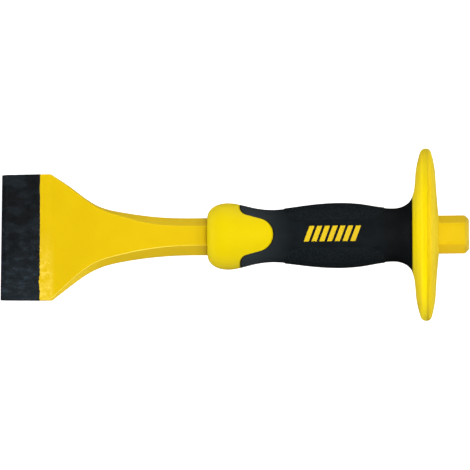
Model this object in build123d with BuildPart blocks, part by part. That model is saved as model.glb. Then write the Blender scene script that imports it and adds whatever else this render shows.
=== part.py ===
from build123d import *
import os
from math import cos, radians, sin, sqrt, tan

# Guarded brick bolster chisel: one forged steel chisel, held in a moulded grip with a hand guard.
#
# Frame, in millimetres: the origin is the middle of the cutting edge, +X runs up the tool's axis
# to the strike face, +Y runs along the cutting edge, and +Z stands square to the blade's face.

# ---- Driving dimensions ----

overall_length = 254.0

# Blade: parallel faces, a short ground bevel, and square sides that spread a little.
edge_width = 68.0
blade_width = 68.7
blade_thickness = 4.2
edge_thickness = 0.6
bevel_length = 2.6
shoulder_x = 27.0

# Flare from the blade's shoulders to the neck: a straight run, a tight bend, then a long sweep.
flare_angle = 35.7
flare_run_end_x = 47.3
bend_radius = 31.2
sweep_angle = 12.0
taper_end_x = 56.0
taper_end_half_thickness = 5.6

# Neck and shank: one hexagonal bar with flats on the blade's face side.
neck_across_flats = 17.3
neck_start_x = 104.0
neck_end_x = 116.0
shank_across_flats = 18.4
shank_start_x = 122.0
shank_corner_radius = 10.48
strike_face_radius = 8.2
notch_width = 4.0
notch_depth_to = 9.35
notch_xs = (150.0, 200.0, 229.0)

# Grip skin: the radius of its outline along the axis.
grip_front_x = 112.4
grip_front_radius = 10.0
bulb_x = 123.7
bulb_radius = 18.05
front_waist_x = 145.5
front_waist_radius = 14.25
belly_x = 184.5
belly_radius = 17.3
rear_waist_x = 212.0
rear_waist_radius = 14.4
flare_foot_x = 223.3
flare_foot_radius = 20.6

# Boundary between the hard moulding and the soft grip: a round tongue on each face.
tongue_tip_x = 148.2
tongue_radius = 9.1
tongue_side_angle = 75.0
fork_tip_x = 130.05
fork_fillet = 5.0

# Hidden sleeve of the hard moulding, with keying rings under the soft grip.
sleeve_start_x = 120.0
sleeve_end_x = 216.0
sleeve_radius = 12.2
ring_radius = 13.9
ring_width = 2.5
ring_xs = (168.0, 180.0, 192.0, 204.0)

# Stippled side panels of the soft grip.
panel_raise = 0.4
panel_front_x = 153.5
panel_rear_x = 209.0
panel_edge_angle = 26.0
panel_corner_inset = 8.5

# Hand guard: a lens-shaped disc with a full round rim, bulging flanks and a short hub.
guard_radius = 46.75
guard_mid_x = 230.6
guard_rim_round = 3.1
guard_rim_turn = 73.5
guard_flank_radius = 60.0
guard_flank_turn = 11.0
guard_back_x = 237.9
guard_hub_radius = 12.2

beyond = 60.0  # farther from the axis than any surface of the tool

# ---- Values that follow from them ----

shank_half_width = shank_across_flats / sqrt(3)
neck_half_width = neck_across_flats / sqrt(3)
facet_lean = 30.0
flare_slope = tan(radians(flare_angle))
flare_start_y = blade_width / 2 + shoulder_x * flare_slope
flare_run_end_y = flare_start_y - flare_run_end_x * flare_slope
bend_drop = bend_radius * (cos(radians(sweep_angle)) - cos(radians(flare_angle)))
sweep_drop = flare_run_end_y - bend_drop - neck_half_width
sweep_radius = sweep_drop / (1 - cos(radians(sweep_angle)))
taper_slope = 2 * (neck_across_flats / 2 - taper_end_half_thickness) / (neck_start_x - taper_end_x)
panel_mid_x = (panel_front_x + panel_rear_x) / 2


# ---- Steel forging ----

with BuildPart() as chisel_forging:
    # Half of the plan outline, pushed up and inwards at the lean of a hexagon's side facet.
    with BuildSketch():
        with BuildLine():
            run = Line((0, flare_start_y), (flare_run_end_x, flare_run_end_y))
            bend = JernArc(run @ 1, run % 1, bend_radius, flare_angle - sweep_angle)
            sweep_in = JernArc(bend @ 1, bend % 1, sweep_radius, sweep_angle)
            Polyline(
                sweep_in @ 1,
                (neck_end_x, neck_half_width),
                (shank_start_x, shank_half_width),
                (overall_length, shank_half_width),
                (overall_length, 0),
                (0, 0),
                (0, flare_start_y),
            )
        make_face()
    facet_rise = Vector(0, -sin(radians(facet_lean)), cos(radians(facet_lean)))
    extrude(amount=shank_across_flats, dir=facet_rise)
    mirror(about=Plane.XZ)
    mirror(about=Plane.XY)
    # Side view: bevel, parallel blade, straight taper, then one long arc to the neck.
    with BuildSketch(Plane.XZ):
        with BuildLine():
            taper_start_x = taper_end_x - (taper_end_half_thickness - blade_thickness / 2) / taper_slope
            edge = Polyline(
                (0, 0),
                (0, edge_thickness / 2),
                (bevel_length, blade_thickness / 2),
                (taper_start_x, blade_thickness / 2),
                (taper_end_x, taper_end_half_thickness),
            )
            TangentArc(edge @ 1, (neck_start_x, neck_across_flats / 2), tangent=edge % 1)
            Polyline(
                (neck_start_x, neck_across_flats / 2),
                (neck_end_x, neck_across_flats / 2),
                (shank_start_x, shank_across_flats / 2),
                (overall_length, shank_across_flats / 2),
                (overall_length, 0),
                (0, 0),
            )
        make_face()
        mirror(about=Plane.XZ)
    extrude(amount=beyond, both=True, mode=Mode.INTERSECT)
    # The blade's square sides.
    with BuildSketch():
        with BuildLine():
            Polyline(
                (0, 0),
                (0, edge_width / 2),
                (shoulder_x, blade_width / 2),
                (overall_length, blade_width / 2),
                (overall_length, 0),
                (0, 0),
            )
        make_face()
        mirror(about=Plane.XZ)
    extrude(amount=beyond, both=True, mode=Mode.INTERSECT)
    # The shank's eased corners and the cone that leads to the strike face.
    head_cone_x = overall_length - (shank_corner_radius - strike_face_radius)
    with BuildSketch(Plane.XZ):
        with BuildLine():
            Polyline(
                (0, 0),
                (0, beyond),
                (neck_end_x + 2, beyond),
                (neck_end_x + 2, shank_corner_radius),
                (head_cone_x, shank_corner_radius),
                (overall_length, strike_face_radius),
                (overall_length, 0),
                (0, 0),
            )
        make_face()
    revolve(axis=Axis.X, mode=Mode.INTERSECT)
    # Notches across the bar's corners, which lock the mouldings along the shank.
    with BuildSketch(Plane.XZ):
        for x in notch_xs:
            with Locations((x, (notch_depth_to + shank_half_width) / 2 + 0.5)):
                Rectangle(notch_width, shank_half_width - notch_depth_to + 1.0)
    revolve(axis=Axis.X, mode=Mode.SUBTRACT)
chisel_forging.part.label = "chisel_forging"


# ---- Hard moulding: nose bulb with its tongues, and the sleeve under the soft grip ----


def draw_skin(outward=0.0):
    """Draw the half section of the whole grip, from its front face to the guard."""
    EllipticalCenterArc(
        (bulb_x, grip_front_radius),
        bulb_x - grip_front_x,
        bulb_radius + outward - grip_front_radius,
        start_angle=90,
        arc_size=90,
    )
    skin = Spline(
        (bulb_x, bulb_radius + outward),
        (front_waist_x, front_waist_radius + outward),
        (belly_x, belly_radius + outward),
        (rear_waist_x, rear_waist_radius + outward),
        (flare_foot_x, flare_foot_radius + outward),
        tangents=((1, 0), (0.25, 1)),
    )
    Polyline(
        skin @ 1,
        (flare_foot_x, 0),
        (grip_front_x, 0),
        (grip_front_x, grip_front_radius),
    )


with BuildPart() as handle_core:
    with BuildSketch(Plane.XZ):
        with BuildLine():
            draw_skin()
        make_face()
    revolve(axis=Axis.X)
    # Everything ahead of the tongue-shaped boundary belongs to this moulding.
    with BuildSketch():
        side_cos = cos(radians(tongue_side_angle))
        side_sin = sin(radians(tongue_side_angle))
        tongue_centre_x = tongue_tip_x - tongue_radius
        side_x = tongue_centre_x + tongue_radius * side_cos
        side_y = tongue_radius * side_sin
        side_slope = side_cos / side_sin
        with BuildLine():
            ThreePointArc((side_x, -side_y), (tongue_tip_x, 0), (side_x, side_y))
            flank = Polyline(
                (side_x, side_y),
                (fork_tip_x, side_y + (side_x - fork_tip_x) * side_slope),
                (fork_tip_x, beyond),
                (0, beyond),
                (0, -beyond),
                (fork_tip_x, -beyond),
                (fork_tip_x, -side_y - (side_x - fork_tip_x) * side_slope),
                (side_x, -side_y),
            )
        make_face()
        crotch_y = side_y + (side_x - fork_tip_x) * side_slope
        fork_roots = vertices().sort_by(lambda v: abs(v.X - fork_tip_x) + abs(abs(v.Y) - crotch_y))[:2]
        fillet(fork_roots, fork_fillet)
    extrude(amount=beyond, both=True, mode=Mode.INTERSECT)
    with BuildSketch(Plane.XZ):
        with Locations(((sleeve_start_x + sleeve_end_x) / 2, sleeve_radius / 2)):
            Rectangle(sleeve_end_x - sleeve_start_x, sleeve_radius)
        for x in ring_xs:
            with Locations((x, ring_radius / 2)):
                Rectangle(ring_width, ring_radius)
    revolve(axis=Axis.X)
    add(chisel_forging.part, mode=Mode.SUBTRACT)
handle_core.part.label = "handle_core"


# ---- Hand guard ----

with BuildPart() as hand_guard:
    with BuildSketch(Plane.XZ):
        with BuildLine():
            crest = (guard_mid_x, guard_radius)
            rim_front = JernArc(crest, (-1, 0), guard_rim_round, guard_rim_turn)
            flank_front = JernArc(rim_front @ 1, rim_front % 1, guard_flank_radius, guard_flank_turn)
            rim_back = JernArc(crest, (1, 0), guard_rim_round, -guard_rim_turn)
            flank_back = JernArc(rim_back @ 1, rim_back % 1, guard_flank_radius, -guard_flank_turn)
            Polyline(
                flank_front @ 1,
                (flare_foot_x, flare_foot_radius),
                (flare_foot_x, guard_hub_radius),
                (sleeve_end_x, guard_hub_radius),
                (sleeve_end_x, 0),
                (guard_back_x, 0),
                (guard_back_x, shank_half_width),
                flank_back @ 1,
            )
        make_face()
    revolve(axis=Axis.X)
    add(chisel_forging.part, mode=Mode.SUBTRACT)
hand_guard.part.label = "hand_guard"


# ---- Soft grip ----

# The two side panels, as the part of a slightly larger skin that lies inside their side view.
with BuildPart() as side_panels:
    with BuildSketch(Plane.XZ):
        with BuildLine():
            draw_skin(panel_raise)
        make_face()
    revolve(axis=Axis.X)
    edge_cos = cos(radians(panel_edge_angle))
    corner_z = front_waist_radius * edge_cos + 1.2
    crest_z = (belly_radius + panel_raise) * edge_cos
    front_corner_x = panel_front_x + panel_corner_inset
    rear_corner_x = panel_rear_x - panel_corner_inset
    with BuildSketch(Plane.XZ):
        with BuildLine():
            ThreePointArc((front_corner_x, corner_z), (panel_mid_x, crest_z), (rear_corner_x, corner_z))
            ThreePointArc((rear_corner_x, corner_z), (panel_rear_x, 0), (rear_corner_x, -corner_z))
            ThreePointArc((rear_corner_x, -corner_z), (panel_mid_x, -crest_z), (front_corner_x, -corner_z))
            ThreePointArc((front_corner_x, -corner_z), (panel_front_x, 0), (front_corner_x, corner_z))
        make_face()
    extrude(amount=beyond, both=True, mode=Mode.INTERSECT)

with BuildPart() as soft_grip:
    with BuildSketch(Plane.XZ):
        with BuildLine():
            draw_skin()
        make_face()
    revolve(axis=Axis.X)
    add(side_panels.part)
    add(handle_core.part, mode=Mode.SUBTRACT)
    add(hand_guard.part, mode=Mode.SUBTRACT)
    add(chisel_forging.part, mode=Mode.SUBTRACT)
soft_grip.part.label = "soft_grip"


# ---- Export, one file per piece ----

os.makedirs("parts", exist_ok=True)
for piece in (chisel_forging, handle_core, hand_guard, soft_grip):
    export_step(piece.part, f"parts/{piece.part.label}.step")
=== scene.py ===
from math import cos, pi, radians, sin, sqrt, tan

import bmesh
import bpy
import numpy as np
from mathutils import Matrix, Vector


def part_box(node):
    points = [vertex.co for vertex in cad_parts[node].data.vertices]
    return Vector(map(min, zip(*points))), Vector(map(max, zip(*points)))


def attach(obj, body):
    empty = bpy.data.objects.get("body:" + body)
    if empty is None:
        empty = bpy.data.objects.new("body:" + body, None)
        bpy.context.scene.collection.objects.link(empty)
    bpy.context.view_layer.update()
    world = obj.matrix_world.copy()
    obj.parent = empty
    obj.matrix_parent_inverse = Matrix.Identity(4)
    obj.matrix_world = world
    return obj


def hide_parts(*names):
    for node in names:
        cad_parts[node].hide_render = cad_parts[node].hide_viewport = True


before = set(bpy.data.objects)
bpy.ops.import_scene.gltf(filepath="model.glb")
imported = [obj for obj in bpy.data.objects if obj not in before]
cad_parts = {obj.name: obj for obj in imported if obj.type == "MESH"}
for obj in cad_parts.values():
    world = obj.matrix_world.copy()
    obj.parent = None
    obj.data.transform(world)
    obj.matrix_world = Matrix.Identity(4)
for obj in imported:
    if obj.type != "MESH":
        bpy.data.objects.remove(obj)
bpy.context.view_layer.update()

MM = 0.001  # shapes are worked out in millimetres and built in metres

# ---- Dimensions read from the frame, in millimetres ----

_, forging_high = (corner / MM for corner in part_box("chisel_forging"))
core_low, core_high = (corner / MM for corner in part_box("handle_core"))
_, guard_high = (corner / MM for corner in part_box("hand_guard"))
grip_low, grip_high = (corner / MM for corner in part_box("soft_grip"))

LENGTH = forging_high.x
BLADE_HALF_WIDTH = forging_high.y
SHANK_HALF_FLATS = forging_high.z
GRIP_FRONT_X = core_low.x
BULB_RADIUS = core_high.z
FORK_TIP_X = grip_low.x
FLARE_FOOT_X = grip_high.x
FLARE_FOOT_RADIUS = grip_high.z
GUARD_RADIUS = guard_high.z
GUARD_BACK_X = guard_high.x

# ---- Dimensions repeated from the CAD source, in millimetres and degrees ----

EDGE_HALF_WIDTH = 34.0
EDGE_HALF_THICKNESS = 0.3
BEVEL_LENGTH = 2.6
BLADE_HALF_THICKNESS = 2.1
SHOULDER_X = 27.0
TAPER_END_X = 56.0
TAPER_END_HALF_THICKNESS = 5.6
NECK_HALF_FLATS = 8.65
NECK_START_X = 104.0
NECK_END_X = 116.0
SHANK_START_X = 122.0
SHANK_CORNER_RADIUS = 10.48
STRIKE_FACE_RADIUS = 8.2
FACET_LEAN = radians(30.0)

GRIP_FRONT_RADIUS = 10.0
BULB_X = 123.7
SKIN_POINTS = (
    (BULB_X, BULB_RADIUS),
    (134.6, 16.05),
    (145.5, 14.27),
    (155.0, 14.68),
    (165.0, 15.96),
    (184.5, 17.28),
    (197.5, 16.3),
    (205.5, 14.95),
    (213.0, 14.42),
)
FLARE_RISE = 7.5
TONGUE_TIP_X = 148.2
TONGUE_RADIUS = 9.1
TONGUE_SIDE_ANGLE = radians(75.0)
FORK_FILLET = 5.0
PANEL_RAISE = 0.4
PANEL_FRONT_X = 153.5
PANEL_REAR_X = 209.0
PANEL_EDGE_ANGLE = radians(26.0)
GUARD_MID_X = 230.85
GUARD_LEAN = 0.0043  # the moulded disc sits this far out of square, as a slope


# ---- Mesh helpers ----


def smoothstep(value, low=0.0, high=1.0):
    """Go smoothly from 0 at low to 1 at high."""
    t = np.clip((np.asarray(value, float) - low) / (high - low), 0.0, 1.0)
    return t * t * (3.0 - 2.0 * t)


def stations(*spans):
    """Join evenly divided spans, each given as (start, end, step), without repeating their shared ends."""
    points = []
    for start, end, step in spans:
        count = max(1, round((end - start) / step))
        points.extend(np.linspace(start, end, count + 1)[bool(points):])
    return np.array(points)


def mesh_object(name, points, faces, material, attributes=None):
    """Make a smooth-shaded mesh object from points in millimetres."""
    mesh = bpy.data.meshes.new(name)
    mesh.from_pydata((np.asarray(points) * MM).tolist(), [], faces)
    for key, values in (attributes or {}).items():
        layer = mesh.attributes.new(key, "FLOAT", "POINT")
        layer.data.foreach_set("value", np.asarray(values, np.float32))
    shape = bmesh.new()
    shape.from_mesh(mesh)
    bmesh.ops.recalc_face_normals(shape, faces=shape.faces)
    shape.to_mesh(mesh)
    shape.free()
    mesh.polygons.foreach_set("use_smooth", [True] * len(mesh.polygons))
    mesh.materials.append(material)
    piece = bpy.data.objects.new(name, mesh)
    bpy.context.scene.collection.objects.link(piece)
    return piece


def ring_faces(ring_count, ring_size, close_ends=True):
    """Quads between successive closed rings, with a fan to one extra point at each closed end."""
    faces = []
    for i in range(ring_count - 1):
        for j in range(ring_size):
            k = (j + 1) % ring_size
            a, b = i * ring_size, (i + 1) * ring_size
            faces.append((a + j, a + k, b + k, b + j))
    if close_ends:
        first, last = ring_count * ring_size, (ring_count - 1) * ring_size
        for j in range(ring_size):
            k = (j + 1) % ring_size
            faces.append((first, k, j))
            faces.append((first + 1, last + j, last + k))
    return faces


# ---- Steel forging ----

TAPER_SLOPE = 2.0 * (NECK_HALF_FLATS - TAPER_END_HALF_THICKNESS) / (NECK_START_X - TAPER_END_X)
TAPER_START_X = TAPER_END_X - (TAPER_END_HALF_THICKNESS - BLADE_HALF_THICKNESS) / TAPER_SLOPE
NECK_HALF_CORNERS = NECK_HALF_FLATS / cos(FACET_LEAN)
SHANK_HALF_CORNERS = SHANK_HALF_FLATS / cos(FACET_LEAN)
CORNER_SPARE = 0.2  # added to the width before the corners are rounded
CONE_X = LENGTH - (SHANK_CORNER_RADIUS - STRIKE_FACE_RADIUS)  # where the strike end's cone begins
BLADE_ROUND = 0.4  # radius that eases the long edges at the blade
ROUND_GROWTH = 0.5  # that radius is this much larger at the neck
SIDE_CORNER_POINTS = 13
TOP_CORNER_POINTS = 25
CORNER_POWER = 50.0  # how tightly the bar's corners keep to their turned radius
STRIKE_EDGE_EASE = 0.35
EDGE_TURN = radians(60.0)  # a point of a section that faces this way is on a long edge
EDGE_TURN_SPREAD = radians(22.0)
BLADE_BEND = 0.38  # the blade's middle stands this far to +Y of the shank's axis
SKEW_START_X = 3.0
EDGE_SKEW = 0.62  # the middle of the cutting edge stands this far up the tool from its -Y corner
FLARE_SKEW = 0.5  # the flare starts this much earlier at +Y, and later at -Y
FORGING_QUARTER = 32  # points in a quarter of a section
LACQUER_QUARTER = 130
LACQUER_END_X = 21.55
LACQUER_SLANT = 0.43  # the coat ends this much further up the tool at +Y
LACQUER_THICKNESS = 0.035
LACQUER_SPARE = 30  # draws left over at each end when the ragged edge is averaged
BEVEL_SPANS = ((0.0, BEVEL_LENGTH - 0.4, 0.4), (BEVEL_LENGTH - 0.4, BEVEL_LENGTH + 0.4, 0.1))

# Lean of the side facets in the flare, and the span of x in which they turn into the hexagon's flanks
UPPER_LEAN = (radians(14.0), 48.0, 82.0)
LOWER_LEAN = (radians(43.0), 38.0, 68.0)


def cubic_slopes(knots, values, first, last):
    """Slopes at the knots of the smooth cubic spline with the given end slopes."""
    count = len(knots)
    system = np.eye(count)
    right = np.zeros(count)
    right[0], right[-1] = first, last
    for i in range(1, count - 1):
        before, after = knots[i] - knots[i - 1], knots[i + 1] - knots[i]
        system[i, i - 1 : i + 2] = (1.0 / before, 2.0 / before + 2.0 / after, 1.0 / after)
        right[i] = 3.0 * (
            (values[i] - values[i - 1]) / before**2 + (values[i + 1] - values[i]) / after**2
        )
    return np.linalg.solve(system, right)


class Spline:
    """Smooth curve through a few points, straight on beyond its ends."""

    def __init__(self, points, first, last):
        self.x = np.array([p[0] for p in points])
        self.y = np.array([p[1] for p in points])
        self.slope = cubic_slopes(self.x, self.y, first, last)

    def __call__(self, x):
        x = np.asarray(x, float)
        i = np.clip(np.searchsorted(self.x, x, side="right") - 1, 0, len(self.x) - 2)
        span = self.x[i + 1] - self.x[i]
        t = np.clip((x - self.x[i]) / span, 0.0, 1.0)
        inside = (
            self.y[i] * (1 + 2 * t) * (1 - t) ** 2
            + self.y[i + 1] * t**2 * (3 - 2 * t)
            + span * self.slope[i] * t * (1 - t) ** 2
            - span * self.slope[i + 1] * t**2 * (1 - t)
        )
        before = np.minimum(x - self.x[0], 0.0) * self.slope[0]
        after = np.maximum(x - self.x[-1], 0.0) * self.slope[-1]
        return inside + before + after


# The flare's two sides differ a little, as forging leaves them.
UPPER_FLARE = Spline(
    (
        (27.6, 34.9), (38.5, 27.4), (46.5, 21.18), (53.8, 16.85),
        (65.0, 13.82), (84.0, 11.1), (NECK_START_X, NECK_HALF_CORNERS + CORNER_SPARE),
    ),
    -0.68, 0.0,
)
LOWER_FLARE = Spline(
    (
        (27.0, 34.9), (38.5, 26.15), (45.0, 21.53), (53.8, 16.82),
        (65.0, 13.72), (84.0, 11.1), (NECK_START_X, NECK_HALF_CORNERS + CORNER_SPARE),
    ),
    -0.81, 0.0,
)


def shank_share(x):
    """How far the neck has grown into the shank at x, from 0 to 1."""
    return float(np.clip((x - NECK_END_X) / (SHANK_START_X - NECK_END_X), 0, 1))


def outline(x, side):
    """Half width of the forging on one side (+1 or -1), ignoring the blade's square sides."""
    flare = UPPER_FLARE if side > 0 else LOWER_FLARE
    if x < NECK_START_X:
        return float(flare(x))
    return NECK_HALF_CORNERS + CORNER_SPARE + (SHANK_HALF_CORNERS - NECK_HALF_CORNERS) * shank_share(x)


def lean(x, side):
    """How far a side facet leans from upright. In the flare the +Y ones are steeper than the -Y ones."""
    in_flare, start, end = UPPER_LEAN if side > 0 else LOWER_LEAN
    return in_flare + (FACET_LEAN - in_flare) * float(smoothstep(x, start, end))


def half_thickness(x):
    """Half thickness of the forging: bevel, parallel blade, straight taper, long arc, neck and shank."""
    rise = NECK_HALF_FLATS - TAPER_END_HALF_THICKNESS
    run = NECK_START_X - TAPER_END_X
    if x < BEVEL_LENGTH:
        return EDGE_HALF_THICKNESS + (BLADE_HALF_THICKNESS - EDGE_HALF_THICKNESS) * x / BEVEL_LENGTH
    if x < TAPER_START_X:
        return BLADE_HALF_THICKNESS
    if x < TAPER_END_X:
        return BLADE_HALF_THICKNESS + (x - TAPER_START_X) * TAPER_SLOPE
    if x < NECK_START_X:
        arc_radius = (rise**2 + run**2) / (2.0 * rise)
        return NECK_HALF_FLATS - arc_radius + sqrt(arc_radius**2 - (NECK_START_X - x) ** 2)
    return NECK_HALF_FLATS + (SHANK_HALF_FLATS - NECK_HALF_FLATS) * shank_share(x)


def section_quarter(half_width, side_limit, half_height, facet_lean, round_radius, count):
    """Quarter outline of a flattened hexagon with square sides and eased corners.

    It runs from the mid-plane at the side to the middle of the top face. Points are spread by length and
    by turning together, so the eased corners keep enough of them. Returns y, z and the way each faces.
    """
    lean_cos, lean_sin = cos(facet_lean), sin(facet_lean)
    top = half_height - round_radius
    reach = half_width * lean_cos - round_radius + 0.5 * round_radius * (1.0 - lean_cos)
    side = min(side_limit - round_radius, reach / lean_cos)
    side_top = min(top, max(0.0, (reach - lean_cos * side) / lean_sin))
    face_edge = min(side, (reach - lean_sin * top) / lean_cos)
    lower_turn = np.linspace(0.0, facet_lean, SIDE_CORNER_POINTS)
    upper_turn = np.linspace(facet_lean, pi / 2, TOP_CORNER_POINTS)
    y = np.concatenate((
        [side + round_radius],
        side + round_radius * np.cos(lower_turn),
        face_edge + round_radius * np.cos(upper_turn),
        [0.0],
    ))
    z = np.concatenate((
        [0.0],
        side_top + round_radius * np.sin(lower_turn),
        top + round_radius * np.sin(upper_turn),
        [top + round_radius],
    ))
    turn = np.concatenate(([0.0], lower_turn, upper_turn, [pi / 2]))
    step = np.hypot(np.diff(y), np.diff(z))
    length = np.concatenate(([0.0], np.cumsum(step)))
    spread = 0.5 * length / length[-1] + 0.5 * turn / turn[-1]
    spread += np.arange(len(spread)) * 1e-9
    wanted = np.linspace(0.0, spread[-1], count)
    return np.interp(wanted, spread, y), np.interp(wanted, spread, z), np.interp(wanted, spread, turn)


def forging_rings(xs, quarter, grow=0.0):
    """Closed cross-sections of the forging at each x, with how close each point is to a long edge."""
    rings, edge_marks = [], []
    for x in xs:
        height = half_thickness(x) + grow
        round_growth = ROUND_GROWTH * float(smoothstep(x, 40.0, NECK_START_X))
        round_radius = min(BLADE_ROUND + round_growth, 0.8 * height)
        side_limit = EDGE_HALF_WIDTH + (BLADE_HALF_WIDTH - EDGE_HALF_WIDTH) * min(x / SHOULDER_X, 1.0)
        halves = []
        for side in (1.0, -1.0):
            y, z, turn = section_quarter(
                outline(x, side) + grow, side_limit + grow, height, lean(x, side), round_radius, quarter
            )
            halves.append((side * y, z, turn))
        (y1, z1, t1), (y2, z2, t2) = halves
        ring_y = np.concatenate((y1, y2[-2::-1], y2[1:], y1[-2:0:-1]))
        ring_z = np.concatenate((z1, z2[-2::-1], -z2[1:], -z1[-2:0:-1]))
        ring_turn = np.concatenate((t1, t2[-2::-1], t2[1:], t1[-2:0:-1]))
        if x > SHANK_START_X:
            limit = SHANK_CORNER_RADIUS - max(0.0, x - CONE_X)
            limit -= STRIKE_EDGE_EASE * float(smoothstep(x, LENGTH - 0.25, LENGTH))
            reach = np.hypot(ring_y, ring_z)
            eased = (reach**-CORNER_POWER + limit**-CORNER_POWER) ** (-1.0 / CORNER_POWER)
            ring_y, ring_z = ring_y * eased / reach, ring_z * eased / reach
        rings.append(np.column_stack((np.full(len(ring_y), x), ring_y, ring_z)))
        edge_marks.append(np.exp(-(((ring_turn - EDGE_TURN) / EDGE_TURN_SPREAD) ** 2)))
    return np.array(rings), np.concatenate(edge_marks)


def forge_out_of_square(rings):
    """The blade is bent a little, and its cutting edge and the start of the flare aren't quite square."""
    x, across = rings[:, :, 0].copy(), rings[:, :, 1] / BLADE_HALF_WIDTH
    past_blade = smoothstep(x, SKEW_START_X, SHOULDER_X)
    rings[:, :, 0] += EDGE_SKEW * (1.0 + across) * (1.0 - past_blade)
    rings[:, :, 0] -= FLARE_SKEW * across * past_blade * (1.0 - smoothstep(x, 30.0, 50.0))
    rings[:, :, 1] += BLADE_BEND * (1.0 - smoothstep(x, 10.0, 80.0))


def make_forging(material):
    """The whole one-piece chisel, from cutting edge to strike face."""
    xs = stations(
        *BEVEL_SPANS,
        (BEVEL_LENGTH + 0.4, SHOULDER_X - 3.0, 1.0), (SHOULDER_X - 3.0, SHOULDER_X + 2.0, 0.2),
        (SHOULDER_X + 2.0, 62.0, 0.5), (62.0, GRIP_FRONT_X + 2.0, 1.0),
        (GRIP_FRONT_X + 2.0, GUARD_BACK_X - 2.0, 3.0), (GUARD_BACK_X - 2.0, CONE_X - 0.5, 0.8),
        (CONE_X - 0.5, LENGTH - 0.2, 0.12), (LENGTH - 0.2, LENGTH, 0.05),
    )
    rings, marks = forging_rings(xs, FORGING_QUARTER)
    forge_out_of_square(rings)
    points = list(rings.reshape(-1, 3))
    points.append(rings[0].mean(axis=0))
    points.append(np.array((LENGTH, 0.0, 0.0)))
    marks = list(marks) + [0.0, 0.0]
    faces = ring_faces(len(rings), rings.shape[1])
    return mesh_object("forging", points, faces, material, {"edge_mark": marks})


def make_lacquer(material):
    """The dipped coat of black lacquer over the cutting end, with its ragged edge."""
    xs = stations(
        *BEVEL_SPANS,
        (BEVEL_LENGTH + 0.4, LACQUER_END_X - 1.2, 1.0), (LACQUER_END_X - 1.2, LACQUER_END_X, 0.4),
    )
    rings, _ = forging_rings(xs, LACQUER_QUARTER, LACQUER_THICKNESS)
    forge_out_of_square(rings)
    rings[:2, :, 0] -= LACQUER_THICKNESS * np.array((1.0, 0.5))[:, None]
    chance = np.random.default_rng(5)
    size = rings.shape[1]

    def wander(reach):
        """Random steps round the coat's end, each averaged over this many points."""
        draws = chance.normal(size=size + 2 * LACQUER_SPARE)
        return np.convolve(draws, np.ones(reach) / reach, "same")[LACQUER_SPARE:-LACQUER_SPARE]

    fine, coarse = wander(2), wander(9)
    below = smoothstep(-rings[-1, :, 1], -8.0, 20.0)
    ragged = 0.10 * fine * (0.4 + below) + 0.28 * coarse
    ragged = np.clip(ragged, -0.55, 0.45) * np.hanning(size) ** 0.05
    edge_x = LACQUER_END_X + LACQUER_SLANT * rings[-1, :, 1] / BLADE_HALF_WIDTH + ragged
    step_back = rings[-1, :, 0] - edge_x
    for i in (1, 2, 3, 4):
        rings[-i, :, 0] -= step_back * (5 - i) / 4.0
    under, _ = forging_rings([LACQUER_END_X], LACQUER_QUARTER, -0.02)
    forge_out_of_square(under)
    under[0, :, 0] = edge_x
    rings = np.concatenate((rings, under))
    points = list(rings.reshape(-1, 3))
    points.append(rings[0].mean(axis=0))
    first = len(points) - 1
    faces = ring_faces(len(rings), size, False)
    faces += [(first, (j + 1) % size, j) for j in range(size)]
    return mesh_object("lacquer_coat", points, faces, material)


# ---- Grip skin ----

SKIN = Spline(SKIN_POINTS, 0.0, 0.0)
NOSE_POWER = 2.15
NOSE_BORE_RADII = (8.0, 8.8, 9.4)
SEAM_ROUND = 0.25
SEAM_DEPTH = 2.0
SEAM_GAP = 0.05
SEAM_STEPS = 6
EVEN_X = 152.0  # from here on, the soft moulding's rings are square to the axis
WAIST_X = 212.0
PANEL_EDGE_SHARPNESS = 20.0


def skin_radius(x):
    """Radius of the grip's outline at x: rounded nose, waists and belly, then the flare's elliptic arc."""
    x = np.asarray(x, float)
    nose = np.clip((BULB_X - x) / (BULB_X - GRIP_FRONT_X), 0.0, 1.0)
    nose_share = (1.0 - nose**NOSE_POWER) ** (1.0 / NOSE_POWER)
    nose_radius = GRIP_FRONT_RADIUS + (BULB_RADIUS - GRIP_FRONT_RADIUS) * nose_share
    waist_x, waist_radius = SKIN_POINTS[-1]
    foot_cos = 1.0 - (FLARE_FOOT_RADIUS - waist_radius) / FLARE_RISE
    flare_run = (FLARE_FOOT_X - waist_x) / sqrt(1.0 - foot_cos**2)
    flare = np.clip((x - waist_x) / flare_run, 0.0, 1.0)
    flare_radius = waist_radius + FLARE_RISE * (1.0 - np.sqrt(1.0 - flare**2))
    return np.where(x < BULB_X, nose_radius, np.where(x > waist_x, flare_radius, SKIN(x)))


def tongue_outline_x(y):
    """Where the boundary between the two mouldings lies, in plan view, at a distance y from the axis."""
    centre_x = TONGUE_TIP_X - TONGUE_RADIUS
    side_x = centre_x + TONGUE_RADIUS * cos(TONGUE_SIDE_ANGLE)
    side_y = TONGUE_RADIUS * sin(TONGUE_SIDE_ANGLE)
    flank = 1.0 / tan(TONGUE_SIDE_ANGLE)
    crotch_y = side_y + (side_x - FORK_TIP_X) * flank
    reach = FORK_FILLET * tan(TONGUE_SIDE_ANGLE / 2)
    fillet_end_y = crotch_y + reach
    fillet_start_y = crotch_y - reach * cos(TONGUE_SIDE_ANGLE)
    if y < side_y:
        return centre_x + sqrt(max(0.0, TONGUE_RADIUS**2 - y**2))
    if y < fillet_start_y:
        return side_x - (y - side_y) / flank
    if y < fillet_end_y:
        fillet_x = FORK_TIP_X + FORK_FILLET
        return fillet_x - sqrt(max(0.0, FORK_FILLET**2 - (fillet_end_y - y) ** 2))
    return FORK_TIP_X


def boundary_x(angle):
    """Where the boundary crosses the skin at this angle from the face's normal."""
    low, high = FORK_TIP_X - 1.0, TONGUE_TIP_X + 1.0
    for _ in range(40):
        middle = (low + high) / 2
        if middle < tongue_outline_x(float(skin_radius(middle)) * abs(sin(angle))):
            low = middle
        else:
            high = middle
    return (low + high) / 2


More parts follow.
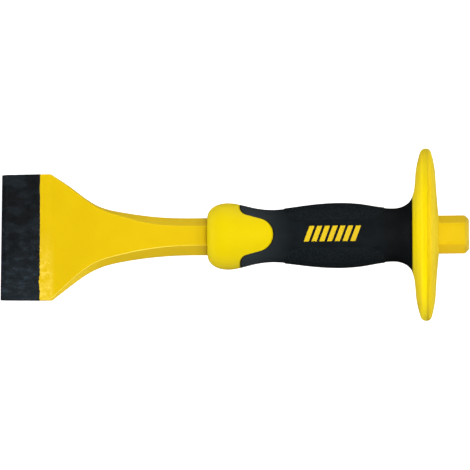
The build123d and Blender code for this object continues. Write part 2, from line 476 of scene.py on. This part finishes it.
COLUMNS = 360
ANGLES = np.arange(COLUMNS) * 2.0 * pi / COLUMNS
BOUNDARY = np.array([boundary_x(a) for a in ANGLES])
COLUMN_ARC = 2.0 * pi / COLUMNS * skin_radius(BOUNDARY)
ALONG = (np.roll(BOUNDARY, -1) - np.roll(BOUNDARY, 1)) / (2.0 * COLUMN_ARC)
SQUARE = 1.0 / np.sqrt(1.0 + ALONG**2)  # cosine of the boundary's lean at each column


def around(x, radius):
    """Points of one ring of the skin, from each column's x and radius. Angle 0 is the face's normal."""
    x = np.broadcast_to(x, ANGLES.shape)
    radius = np.broadcast_to(radius, ANGLES.shape)
    return np.column_stack((x, radius * np.sin(ANGLES), radius * np.cos(ANGLES)))


def make_nose(material):
    """The hard moulding that shows: nose bulb with a tongue on each face."""
    rings = []
    for radius in NOSE_BORE_RADII:
        rings.append(around(GRIP_FRONT_X, radius))
    for turn in np.linspace(0.0, 1.0, 30)[1:]:
        x = BULB_X - (BULB_X - GRIP_FRONT_X) * cos(turn * pi / 2) ** (2.0 / NOSE_POWER)
        rings.append(around(x, skin_radius(x)))
    body_end = BOUNDARY - SEAM_ROUND / SQUARE
    for share in np.linspace(0.0, 1.0, 40)[1:]:
        x = BULB_X + (body_end - BULB_X) * share
        rings.append(around(x, skin_radius(x)))
    for turn in np.linspace(0.0, pi / 2, SEAM_STEPS)[1:]:
        x = BOUNDARY - SEAM_ROUND * (1.0 - sin(turn)) / SQUARE
        rings.append(around(x, skin_radius(x) - SEAM_ROUND * (1.0 - cos(turn))))
    rings.append(around(BOUNDARY, skin_radius(BOUNDARY) - SEAM_DEPTH))
    rings.append(around(BOUNDARY - 3.0, 8.4))
    points = np.concatenate(rings)
    # Painted shade in the joint beside the soft moulding.
    crease_shade = 1.0 - smoothstep(np.tile(BOUNDARY, len(rings)) - points[:, 0], 0.1, 0.8)
    faces = ring_faces(len(rings), COLUMNS, False)
    return mesh_object("nose_moulding", points, faces, material, {"crease_shade": crease_shade})


def panel_amount(x, angle):
    """How far inside a side panel a point is, from 0 outside its edge to 1 on its level top."""
    middle = (PANEL_FRONT_X + PANEL_REAR_X) / 2
    along = np.abs(x - middle) / ((PANEL_REAR_X - PANEL_FRONT_X) / 2)
    from_side = np.abs(np.abs(np.mod(angle, 2 * pi) - pi) - pi / 2)
    across = from_side / (pi / 2 - PANEL_EDGE_ANGLE)
    inside = 1.0 - (along**4 + across**4) ** 0.25
    return smoothstep(inside * PANEL_EDGE_SHARPNESS, 0.0, 0.9)


def make_grip(material):
    """The soft moulding: forks beside the tongues, waist, belly with side panels, and the rear flare."""
    rings = [around(BOUNDARY + SEAM_GAP, skin_radius(BOUNDARY) - SEAM_DEPTH)]
    for turn in np.linspace(0.0, pi / 2, SEAM_STEPS)[:-1]:
        x = BOUNDARY + SEAM_GAP + SEAM_ROUND * (1.0 - cos(turn)) / SQUARE
        rings.append(around(x, skin_radius(x) - SEAM_ROUND * (1.0 - sin(turn))))
    body_start = BOUNDARY + SEAM_GAP + SEAM_ROUND / SQUARE
    for share in np.linspace(0.0, 1.0, 30):
        x = body_start + (EVEN_X - body_start) * share
        rings.append(around(x, skin_radius(x)))
    for x in stations((EVEN_X, WAIST_X, 0.35), (WAIST_X, FLARE_FOOT_X - 0.3, 0.4))[1:]:
        rings.append(around(x, skin_radius(x)))
    rings.append(around(FLARE_FOOT_X - 0.1, FLARE_FOOT_RADIUS - 0.1))
    rings.append(around(FLARE_FOOT_X - 0.02, FLARE_FOOT_RADIUS - 0.4))
    rings.append(around(FLARE_FOOT_X - 0.02, 13.0))
    points = np.concatenate(rings)
    angles = np.tile(ANGLES, len(rings))
    amount = panel_amount(points[:, 0], angles)
    # Painted shade along the joint with the hard moulding.
    seam_shade = 1.0 - smoothstep(points[:, 0] - np.tile(BOUNDARY, len(rings)), 0.2, 1.0)
    radius = np.hypot(points[:, 1], points[:, 2])
    grow = 1.0 + PANEL_RAISE * amount / radius
    points[:, 1] *= grow
    points[:, 2] *= grow
    faces = ring_faces(len(rings), COLUMNS, False)
    return mesh_object("grip_moulding", points, faces, material, {"panel": amount, "seam_shade": seam_shade})


# ---- Hand guard ----

GUARD_RIM = 2.95  # radius of the rim's round
RIM_TURN = radians(73.5)
FLANK_TURN = radians(11.0)
FLANK_RADIUS = 60.0
FRONT_FULLNESS = 1.14  # the half of the disc towards the blade is this much thicker
PARTING_X = GUARD_MID_X + 0.3
PARTING_RIDGE = ((-0.08, 0.005), (0.0, 0.02), (0.08, -0.01))  # x and height of the fine line's points
FOOT_CUP = 1.0  # the front flank turns towards the flare's foot by this much
FOOT_INNER_RADIUS = 12.4
HEEL_X = GUARD_BACK_X - 0.35
HEEL_RADIUS = SHANK_HALF_CORNERS + 1.0
BORE_RADII = (9.6, 8.6)
FLANK_STEPS = 24


def rim_profile():
    """Half of the disc's outer profile, as (distance from its middle plane, depth below its rim).

    It starts at the rim's outermost point, goes round the rim and ends on the flank.
    """
    half = [(0.0, 0.0)]
    for turn in np.linspace(0.0, RIM_TURN, 22)[1:]:
        half.append((GUARD_RIM * sin(turn), GUARD_RIM * (1.0 - cos(turn))))
    out, depth = half[-1]
    for turn in np.linspace(0.0, FLANK_TURN, 16)[1:]:
        angle = RIM_TURN + turn
        half.append((
            out + FLANK_RADIUS * (sin(angle) - sin(RIM_TURN)),
            depth + FLANK_RADIUS * (cos(RIM_TURN) - cos(angle)),
        ))
    return half


def make_guard(material):
    """Lens-shaped disc with a full round rim and the fine line that its mould leaves round it."""
    half = rim_profile()
    out, depth = half[-1]
    inner = GUARD_RADIUS - depth
    front, back = GUARD_MID_X - FRONT_FULLNESS * out, GUARD_MID_X + out
    profile = [(FLARE_FOOT_X - 0.2, FOOT_INNER_RADIUS), (FLARE_FOOT_X - 0.05, FLARE_FOOT_RADIUS - 2.0)]
    for t in np.linspace(0.0, 1.0, FLANK_STEPS):
        radius = FLARE_FOOT_RADIUS + (inner - FLARE_FOOT_RADIUS) * t
        straight = FLARE_FOOT_X + FOOT_CUP + (front - FLARE_FOOT_X - FOOT_CUP) * t
        profile.append((straight - FOOT_CUP * (1.0 - t) ** 4, radius))
    profile += [(GUARD_MID_X - FRONT_FULLNESS * o, GUARD_RADIUS - d) for o, d in half[-2::-1]]
    profile += [(GUARD_MID_X + o, GUARD_RADIUS - d) for o, d in half[1:]]
    for t in np.linspace(0.0, 1.0, FLANK_STEPS)[1:]:
        radius = inner + (HEEL_RADIUS - inner) * t
        profile.append((back + (HEEL_X - back) * (0.75 * t + 0.25 * t**3), radius))
    profile += [(HEEL_X, radius) for radius in BORE_RADII]
    dense = []
    for (x1, r1), (x2, r2) in zip(profile, profile[1:]):
        dense.append((x1, r1))
        if x1 < PARTING_X < x2:
            share = (PARTING_X - x1) / (x2 - x1)
            radius = r1 + (r2 - r1) * share
            dense += [(PARTING_X + along, radius + height) for along, height in PARTING_RIDGE]
    dense.append(profile[-1])
    rings = [around(x, radius) for x, radius in dense]
    points = np.concatenate(rings)
    rear = (points[:, 0] > PARTING_X + 0.04).astype(float)
    # Painted light on the guard's front flank, painted reflection on its rear flank.
    lit_front_face = smoothstep(GUARD_MID_X - points[:, 0], 1.2, 4.2)
    rear_face_sheen = smoothstep(points[:, 0] - GUARD_MID_X, 1.5, 4.0)
    # Painted shade where the guard meets the grip's flare.
    crease_shade = 1.0 - smoothstep(points[:, 0] - FLARE_FOOT_X, 0.1, 0.9)
    radii = np.hypot(points[:, 1], points[:, 2])
    ahead = GUARD_MID_X - points[:, 0]
    side = np.abs(points[:, 1])
    # Painted shade on the front flank away from the middle. Painted light along the crest towards -Y and on
    # the rim behind the middle near its ends.
    shade = 0.5 * smoothstep(ahead, 1.5, 5.0) * smoothstep(side, 6.0, 34.0)
    shade += 0.5 * smoothstep(ahead, 0.0, 2.6) * smoothstep(side, 34.0, 42.0)
    crest = smoothstep(ahead, -0.6, 0.6) * (1.0 - smoothstep(ahead, 1.8, 4.5))
    painted_light = 0.7 * crest * smoothstep(-points[:, 1], 5.0, 38.0)
    painted_light += 0.3 * smoothstep(-ahead, 0.0, 1.5) * smoothstep(side, 24.0, 42.0)
    outward = smoothstep(radii, SHANK_HALF_CORNERS + 2.0, 24.0)
    points[:, 0] += GUARD_LEAN * points[:, 1] * outward
    faces = ring_faces(len(rings), COLUMNS, False)
    marks = {"rear": rear, "rear_face_sheen": rear_face_sheen, "lit_front_face": lit_front_face, "crease_shade": crease_shade}
    marks.update({"shade": shade, "painted_light": painted_light})
    return mesh_object("guard_disc", points, faces, material, marks)


# ---- Generic printed mark ----


def make_mark(material):
    """Slanted stripes printed on the grip's face: plain decoration with no lettering."""
    stripe_count = 7
    length, height, slant = 31.0, 8.4, 3.2
    stripe_width = 2.7
    centre_x = 180.2
    thickness = 0.12
    pitch = (length - slant - stripe_width) / (stripe_count - 1)
    columns, rows = 5, 13
    points, faces = [], []
    for stripe in range(stripe_count):
        base = len(points)
        start_x = centre_x - length / 2 + stripe * pitch
        for lift in (-0.15, thickness):
            for row in range(rows):
                share = row / (rows - 1)
                arc = (share - 0.5) * height
                for column in range(columns):
                    x = start_x + slant * share + stripe_width * column / (columns - 1)
                    radius = float(skin_radius(x))
                    angle = arc / radius
                    reach = radius + lift
                    points.append((x, reach * sin(angle), reach * cos(angle)))
        layer = columns * rows
        for row in range(rows - 1):
            for column in range(columns - 1):
                a = base + row * columns + column
                quad = (a, a + 1, a + 1 + columns, a + columns)
                faces.append(quad[::-1])
                faces.append(tuple(p + layer for p in quad))
        border = list(range(columns))
        border += [row * columns + columns - 1 for row in range(1, rows)]
        border += [(rows - 1) * columns + column for column in range(columns - 2, -1, -1)]
        border += [row * columns for row in range(rows - 2, 0, -1)]
        for here, after in zip(border, border[1:] + border[:1]):
            faces.append((base + here, base + after, base + after + layer, base + here + layer))
    mark = mesh_object("grip_stripes", points, faces, material)
    mark.data.polygons.foreach_set("use_smooth", [False] * len(mark.data.polygons))
    return mark


# ---- Materials ----


class Nodes:
    """Builds one material's node tree. Positions come in millimetres, in the tool's own frame."""

    def __init__(self, name):
        self.material = bpy.data.materials.new(name)
        self.material.use_nodes = True
        self.tree = self.material.node_tree
        self.shader = self.tree.nodes["Principled BSDF"]
        coordinates = self.tree.nodes.new("ShaderNodeTexCoord").outputs["Object"]
        self.place = self.vector("MULTIPLY", coordinates, (1.0 / MM,) * 3)
        split = self.tree.nodes.new("ShaderNodeSeparateXYZ")
        self.tree.links.new(self.place, split.inputs[0])
        self.x, self.y, self.z = split.outputs

    def put(self, socket, value):
        """Link a socket to another's output, or set its value."""
        if isinstance(value, bpy.types.NodeSocket):
            self.tree.links.new(value, socket)
        elif isinstance(value, (tuple, list)) and len(value) == 3 and socket.type == "RGBA":
            socket.default_value = (*value, 1.0)
        else:
            socket.default_value = value

    def vector(self, operation, first, second):
        node = self.tree.nodes.new("ShaderNodeVectorMath")
        node.operation = operation
        self.put(node.inputs[0], first)
        self.put(node.inputs[1], second)
        return node.outputs[0]

    def math(self, operation, first, second):
        node = self.tree.nodes.new("ShaderNodeMath")
        node.operation = operation
        for socket, value in zip(node.inputs, (first, second)):
            self.put(socket, value)
        return node.outputs[0]

    def span(self, value, low, high, start=0.0, end=1.0, smooth=True):
        """Map value from low..high to start..end, held at both ends."""
        node = self.tree.nodes.new("ShaderNodeMapRange")
        node.interpolation_type = "SMOOTHSTEP" if smooth else "LINEAR"
        for socket, number in zip(node.inputs, (value, low, high, start, end)):
            self.put(socket, number)
        return node.outputs[0]

    def noise(self, size, stretch=(1.0, 1.0, 1.0), detail=2.0, shift=0.0, rough=0.5):
        """Noise from about 0 to 1, with features of this size in millimetres."""
        place = self.vector("MULTIPLY", self.place, tuple(s / size for s in stretch))
        place = self.vector("ADD", place, (shift, shift * 1.7, shift * 0.6))
        node = self.tree.nodes.new("ShaderNodeTexNoise")
        self.put(node.inputs["Vector"], place)
        node.inputs["Scale"].default_value = 1.0
        node.inputs["Detail"].default_value = detail
        node.inputs["Roughness"].default_value = rough
        return node.outputs["Fac"]

    def cells(self, size):
        """Distance to the nearest of scattered points, about 0 to 1."""
        place = self.vector("MULTIPLY", self.place, (1.0 / size,) * 3)
        node = self.tree.nodes.new("ShaderNodeTexVoronoi")
        self.put(node.inputs["Vector"], place)
        node.inputs["Scale"].default_value = 1.0
        return node.outputs["Distance"]

    def mark(self, name):
        """A number stored on the mesh's points."""
        node = self.tree.nodes.new("ShaderNodeAttribute")
        node.attribute_name = name
        return node.outputs["Fac"]

    def mix(self, share, first, second):
        """Mix two colours."""
        node = self.tree.nodes.new("ShaderNodeMix")
        node.data_type = "RGBA"
        self.put(node.inputs["Factor"], share)
        self.put(node.inputs[6], first)
        self.put(node.inputs[7], second)
        return node.outputs[2]

    def bump(self, height, depth, normal=None):
        """Surface relief: height from 0 to 1, depth in millimetres."""
        node = self.tree.nodes.new("ShaderNodeBump")
        node.inputs["Strength"].default_value = 1.0
        node.inputs["Distance"].default_value = depth * MM
        self.put(node.inputs["Height"], height)
        if normal is not None:
            self.put(node.inputs["Normal"], normal)
        return node.outputs["Normal"]

    def finish(self, colour, roughness, specular, normal=None):
        self.put(self.shader.inputs["Base Color"], colour)
        self.put(self.shader.inputs["Roughness"], roughness)
        self.shader.inputs["Specular IOR Level"].default_value = specular
        if normal is not None:
            self.put(self.shader.inputs["Normal"], normal)
        return self.material


def make_steel_paint():
    """Yellow enamel over the forging: orange peel, thin paint with painted highlights on the long edges,
    painted glints and blobs near the dipped end, painted shadow beside the grip.
    """
    n = Nodes("steel_paint")
    enamel = (0.355, 0.239, 0.001)
    enamel_thin_sheen = (0.39, 0.28, 0.006)
    enamel_deep = (0.34, 0.225, 0.0006)
    enamel_edge_highlight = (0.60, 0.48, 0.10)
    enamel_shaded = (0.22, 0.135, 0.0006)
    enamel_pale_glint = (0.40, 0.282, 0.018)
    enamel_blob_glint = (0.50, 0.37, 0.05)
    enamel_lit_facet = (0.41, 0.268, 0.001)
    enamel_cone_dark = (0.26, 0.185, 0.015)
    edge = n.mark("edge_mark")
    colour = n.mix(n.span(n.noise(14.0), 0.35, 0.65), enamel, enamel_deep)
    colour = n.mix(n.span(n.noise(1.3, shift=3.0), 0.35, 0.75, 0.0, 0.35), colour, enamel)
    # Lighter on the long edges: thinner paint there, with a painted highlight.
    colour = n.mix(n.math("MULTIPLY", edge, 0.8), colour, enamel_thin_sheen)
    # Painted highlight: a bright line along the lower long edges, weaker towards the neck.
    lower_edge_highlight = n.math("MULTIPLY", n.math("POWER", edge, 4.0), n.span(n.y, 4.0, -4.0))
    lower_edge_highlight = n.math("MULTIPLY", lower_edge_highlight, n.span(n.x, 105.0, 70.0, 0.3, 1.0))
    colour = n.mix(lower_edge_highlight, colour, enamel_edge_highlight)
    # Painted shadow on the neck beside the grip's nose.
    shade_by_grip = n.math("MULTIPLY", n.span(n.x, 104.0, 112.5, 0.0, 0.4), n.span(n.x, 130.0, 120.0))
    colour = n.mix(shade_by_grip, colour, enamel_shaded)
    # Painted glints near the dipped end, more towards -Y: pale patches and blobs. The blobs are also raised
    # in the relief.
    near_end = n.math("MULTIPLY", n.span(n.x, 30.0, 25.5), n.span(n.y, 8.0, -24.0))
    glint_patches = n.math("MULTIPLY", near_end, n.span(n.noise(3.2, shift=5.0), 0.3, 0.65))
    colour = n.mix(glint_patches, colour, enamel_pale_glint)
    glint_blobs = n.math("MULTIPLY", n.span(n.noise(1.9, shift=8.0), 0.5, 0.68), near_end)
    colour = n.mix(n.math("MULTIPLY", glint_blobs, 0.45), colour, enamel_blob_glint)
    # Painted light: the head's lower facet is coloured lighter.
    lit_head_facet = n.math("MULTIPLY", n.span(n.x, 236.0, 239.0), n.span(n.y, -4.9, -5.5))
    colour = n.mix(lit_head_facet, colour, enamel_lit_facet)
    # Darker and paler on the strike end's cone.
    colour = n.mix(n.span(n.x, 251.4, 252.2, 0.0, 0.8), colour, enamel_cone_dark)
    relief = n.bump(n.noise(1.0, detail=1.0, shift=7.0), 0.012)
    relief = n.bump(n.noise(7.0, detail=3.0, shift=2.0), 0.1, relief)
    relief = n.bump(glint_blobs, 0.08, relief)
    roughness = n.span(n.noise(2.2, shift=4.0), 0.3, 0.7, 0.36, 0.48, False)
    n.shader.inputs["Specular Tint"].default_value = (1.0, 0.8, 0.15, 1.0)
    return n.finish(colour, roughness, 0.1, relief)


def make_black_lacquer():
    """Thin black lacquer over the rough forged end: cloudy and streaked, with painted reflection making it
    lighter and bluer towards -Y.
    """
    n = Nodes("black_lacquer")
    lacquer = (0.0030, 0.0046, 0.0060)
    lacquer_deep = (0.0009, 0.0014, 0.0018)
    lacquer_sheen = (0.0105, 0.0165, 0.0215)
    cloud = n.noise(7.0, (0.8, 1.1, 1.0), detail=3.0, shift=5.0)
    colour = n.mix(n.span(cloud, 0.42, 0.6), lacquer_deep, lacquer)
    streaks = n.noise(2.2, (0.45, 1.2, 1.0), detail=4.0, shift=1.0, rough=0.65)
    # Painted reflection: the streaks are lighter towards -Y.
    low_side_sheen = n.span(n.y, 16.0, -28.0, 0.2, 1.0)
    streak_sheen = n.math("MULTIPLY", n.span(streaks, 0.46, 0.68), low_side_sheen)
    streak_sheen = n.math("MULTIPLY", streak_sheen, n.span(cloud, 0.38, 0.55, 0.3, 1.0))
    # Painted reflection: lighter and bluer towards -Y.
    colour = n.mix(n.span(n.y, 5.0, -32.0, 0.0, 0.35), colour, (0.0080, 0.0125, 0.0160))
    colour = n.mix(streak_sheen, colour, lacquer_sheen)
    near_end = n.span(n.x, 16.1, 21.1)
    speck_zone = n.math("MULTIPLY", near_end, n.span(n.y, 6.0, -6.0, 0.1, 1.0))
    speck = n.math("MULTIPLY", n.span(n.noise(0.45, shift=12.0), 0.66, 0.72), speck_zone)
    colour = n.mix(n.math("MULTIPLY", speck, 0.5), colour, (0.16, 0.11, 0.02))
    relief = n.bump(n.noise(7.0, detail=3.0, shift=2.0), 0.14)
    relief = n.bump(streaks, 0.06, relief)
    roughness = n.span(n.noise(2.2, shift=4.0), 0.3, 0.7, 0.34, 0.52, False)
    roughness = n.math("ADD", roughness, n.span(n.x, 2.3, 5.0, 0.5, 0.0))
    return n.finish(colour, roughness, 0.06, relief)


def make_yellow_plastic():
    """Moulded yellow plastic. The guard's rear half is coloured darker and more orange. Painted light,
    reflection and shade lie on the guard's faces and in the creases.
    """
    n = Nodes("yellow_plastic")
    fresh = (0.37, 0.285, 0.0008)
    deep = (0.36, 0.272, 0.0006)
    colour = n.mix(n.span(n.noise(18.0), 0.35, 0.65), fresh, deep)
    colour = n.mix(n.span(n.noise(2.0, shift=6.0), 0.3, 0.7, 0.0, 0.3), colour, (0.365, 0.28, 0.002))
    colour = n.mix(n.math("MULTIPLY", n.mark("rear"), 0.9), colour, (0.325, 0.222, 0.002))
    # Painted reflection: the rear flank paler. Painted light: the front flank lighter.
    colour = n.mix(n.mark("rear_face_sheen"), colour, (0.385, 0.285, 0.008))
    colour = n.mix(n.mark("lit_front_face"), colour, (0.50, 0.385, 0.0006))
    # Painted shade and painted light on the guard.
    colour = n.mix(n.mark("shade"), colour, (0.36, 0.245, 0.0004))
    colour = n.mix(n.mark("painted_light"), colour, (0.47, 0.375, 0.0006))
    # Painted shade in the creases.
    colour = n.mix(n.math("MULTIPLY", n.mark("crease_shade"), 0.6), colour, (0.12, 0.09, 0.0004))
    relief = n.bump(n.noise(0.35, detail=2.0), 0.006)
    relief = n.bump(n.noise(9.0, detail=1.0, shift=2.5), 0.05, relief)
    roughness = n.span(n.noise(3.0, shift=1.5), 0.3, 0.7, 0.42, 0.52, False)
    n.shader.inputs["Specular Tint"].default_value = (1.0, 0.85, 0.12, 1.0)
    return n.finish(colour, roughness, 0.07, relief)


def make_soft_black():
    """Soft black moulding: a fine matt grain, with round pebbles on the side panels."""
    n = Nodes("soft_black")
    body = (0.0019, 0.0029, 0.0037)
    pale = (0.0027, 0.0041, 0.0052)
    panel = n.mark("panel")
    colour = n.mix(n.span(n.noise(7.0), 0.35, 0.65), body, pale)
    colour = n.mix(n.span(n.x, 162.0, 134.0, 0.0, 0.9), colour, (0.0125, 0.0160, 0.0180))
    colour = n.mix(n.span(n.x, 200.0, 216.0, 0.0, 0.7), colour, (0.0010, 0.0012, 0.0015))
    colour = n.mix(panel, colour, (0.0040, 0.0058, 0.0072))
    # Painted shade along the joint with the hard moulding.
    colour = n.mix(n.mark("seam_shade"), colour, (0.0006, 0.0007, 0.0006))
    pebble = n.cells(1.05)
    pit = n.math("MULTIPLY", n.span(pebble, 0.3, 0.75), panel)
    colour = n.mix(n.math("MULTIPLY", pit, 0.7), colour, (0.0012, 0.0018, 0.0022))
    relief = n.bump(n.noise(0.3, detail=2.0), 0.012)
    domes = n.math("MULTIPLY", n.span(pebble, 0.1, 0.7, 1.0, 0.0), panel)
    relief = n.bump(domes, 0.12, relief)
    roughness = n.span(n.noise(1.5, shift=9.0), 0.3, 0.7, 0.58, 0.7, False)
    return n.finish(colour, roughness, 0.03, relief)


def make_mark_print():
    """Yellow ink, a little thinner here and there."""
    n = Nodes("mark_print")
    thin = n.span(n.noise(0.5, detail=3.0), 0.35, 0.75, 0.0, 0.35)
    colour = n.mix(thin, (0.36, 0.25, 0.004), (0.30, 0.205, 0.004))
    return n.finish(colour, n.span(n.noise(1.0), 0.3, 0.7, 0.5, 0.65), 0.06, n.bump(n.noise(0.3), 0.008))


steel_paint = make_steel_paint()
black_lacquer = make_black_lacquer()
yellow_plastic = make_yellow_plastic()
soft_black = make_soft_black()
mark_print = make_mark_print()

# ---- Pieces ----

forging = make_forging(steel_paint)
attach(forging, "root")
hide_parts("chisel_forging")

lacquer = make_lacquer(black_lacquer)
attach(lacquer, "root")

nose = make_nose(yellow_plastic)
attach(nose, "root")
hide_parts("handle_core")

guard = make_guard(yellow_plastic)
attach(guard, "root")
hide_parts("hand_guard")

grip = make_grip(soft_black)
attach(grip, "root")
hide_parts("soft_grip")

mark = make_mark(mark_print)
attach(mark, "root")

# ---- Floor, light and camera ----

PAPER_GLOW = 1.0
FLOOR_HALF_WIDTH = 12000.0
FLOOR_DROP = 0.6  # clearance that keeps the floor off the tool
WALL_DISTANCE = 8000.0
WALL_HALF_HEIGHT = 5000.0
WALL_SIDES = 48
VIEW_WIDTH = 254.6
VIEW_CENTRE = (127.3, 0.78, 0.0)
LENS = 500.0
SENSOR_WIDTH = 36.0
CLIP_END = 30.0  # metres: past the camera, the tool and the backdrop behind them


def make_paper():
    """White paper, lit well enough to stay white all over."""
    material = bpy.data.materials.new("paper_white")
    material.use_nodes = True
    shader = material.node_tree.nodes["Principled BSDF"]
    shader.inputs["Base Color"].default_value = (0.3, 0.3, 0.3, 1.0)
    shader.inputs["Roughness"].default_value = 0.9
    shader.inputs["Specular IOR Level"].default_value = 0.0
    shader.inputs["Emission Color"].default_value = (1.0, 1.0, 1.0, 1.0)
    shader.inputs["Emission Strength"].default_value = PAPER_GLOW
    return material


def make_wall(material):
    """A white backdrop all round, far off. It shows behind the tool in a low view and lights nothing."""
    turns = np.linspace(0.0, 2.0 * pi, WALL_SIDES, endpoint=False)
    x, y = WALL_DISTANCE * np.cos(turns), WALL_DISTANCE * np.sin(turns)
    rings = [np.column_stack((x, y, np.full(WALL_SIDES, z))) for z in (-WALL_HALF_HEIGHT, WALL_HALF_HEIGHT)]
    wall = mesh_object("backdrop", np.concatenate(rings), ring_faces(2, WALL_SIDES, False), material)
    wall.visible_diffuse = False
    wall.visible_glossy = False
    wall.visible_shadow = False


def make_floor(material):
    """A plain white floor, sloping just under the blade's lower face and the guard's rim."""
    rise = GUARD_RADIUS - BLADE_HALF_THICKNESS
    run = GUARD_MID_X - BEVEL_LENGTH
    slope = np.arctan2(rise, run)
    half = FLOOR_HALF_WIDTH
    points = [(-half, -half, 0), (half, -half, 0), (half, half, 0), (-half, half, 0)]
    floor = mesh_object("floor", points, [(0, 1, 2, 3)], material)
    floor.rotation_euler = (0.0, slope, 0.0)
    floor.location = Vector((BEVEL_LENGTH, 0.0, -BLADE_HALF_THICKNESS - FLOOR_DROP)) * MM
    floor.visible_glossy = False


def area_light(name, direction, distance, size, energy):
    """A soft square light aimed at the tool's middle. The direction towards it is in the tool's frame."""
    data = bpy.data.lights.new(name, "AREA")
    data.shape = "SQUARE"
    data.size = size
    data.energy = energy
    light = bpy.data.objects.new(name, data)
    light.visible_camera = False
    toward = Vector(direction).normalized()
    light.location = Vector((LENGTH / 2, 0, 0)) * MM + toward * distance
    light.rotation_mode = "QUATERNION"
    light.rotation_quaternion = (-toward).to_track_quat("-Z", "Y")
    bpy.context.scene.collection.objects.link(light)


def make_world():
    """A white tent, open at the top: white all round above the horizon, dark overhead and below."""
    world = bpy.data.worlds.new("studio")
    world.use_nodes = True
    tree = world.node_tree
    coordinates = tree.nodes.new("ShaderNodeTexCoord")
    split = tree.nodes.new("ShaderNodeSeparateXYZ")
    fade = tree.nodes.new("ShaderNodeMapRange")
    tree.links.new(coordinates.outputs["Generated"], split.inputs[0])
    tree.links.new(split.outputs["Z"], fade.inputs["Value"])
    fade.interpolation_type = "SMOOTHSTEP"
    fade.inputs["From Min"].default_value = 0.25
    fade.inputs["From Max"].default_value = 0.5
    fade.inputs["To Min"].default_value = 1.0
    fade.inputs["To Max"].default_value = 0.05
    rise = tree.nodes.new("ShaderNodeMapRange")
    tree.links.new(split.outputs["Z"], rise.inputs["Value"])
    rise.interpolation_type = "SMOOTHSTEP"
    rise.inputs["From Min"].default_value = -0.1
    rise.inputs["From Max"].default_value = 0.1
    rise.inputs["To Min"].default_value = 0.02
    tree.links.new(fade.outputs[0], rise.inputs["To Max"])
    tree.links.new(rise.outputs[0], tree.nodes["Background"].inputs["Strength"])
    tree.nodes["Background"].inputs["Color"].default_value = (1.0, 1.0, 1.0, 1.0)
    bpy.context.scene.world = world


paper = make_paper()
make_floor(paper)
make_wall(paper)
make_world()
area_light("overhead", (0.3, 0.0, 1.0), 0.6, 0.32, 5.0)
area_light("left_high", (-1.0, 0.0, 1.0), 1.2, 0.7, 4.1)
area_light("left_low", (-1.0, 0.0, 0.35), 1.2, 0.7, 19.0)
area_light("right_low", (1.0, 0.0, 0.3), 1.2, 0.7, 12.4)
area_light("near_side", (0.5, -1.0, 0.8), 1.2, 0.7, 6.4)
area_light("far_low", (0.3, 1.0, 0.25), 1.2, 0.7, 7.8)

bpy.context.scene.view_settings.view_transform = "Standard"


def make_camera():
    """A long lens, almost straight above the face, turned a little as the tool is seen."""
    yaw, tip, roll = radians(1.35), radians(4.0), radians(0.42)
    data = bpy.data.cameras.new("camera")
    data.lens = LENS
    data.sensor_width = SENSOR_WIDTH
    distance = VIEW_WIDTH * MM * LENS / SENSOR_WIDTH
    back = Vector((sin(yaw), -cos(yaw) * sin(tip), cos(yaw) * cos(tip)))
    right = Vector((0, 1, 0)).cross(back).normalized()
    up = back.cross(right).normalized()
    level = Matrix((right, up, back)).transposed()
    turn = Matrix.Rotation(-roll, 3, back)
    camera = bpy.data.objects.new("camera", data)
    place = Vector(VIEW_CENTRE) * MM + back * distance
    camera.matrix_world = Matrix.Translation(place) @ (turn @ level).to_4x4()
    data.clip_end = CLIP_END
    bpy.context.scene.collection.objects.link(camera)
    bpy.context.scene.camera = camera


make_camera()
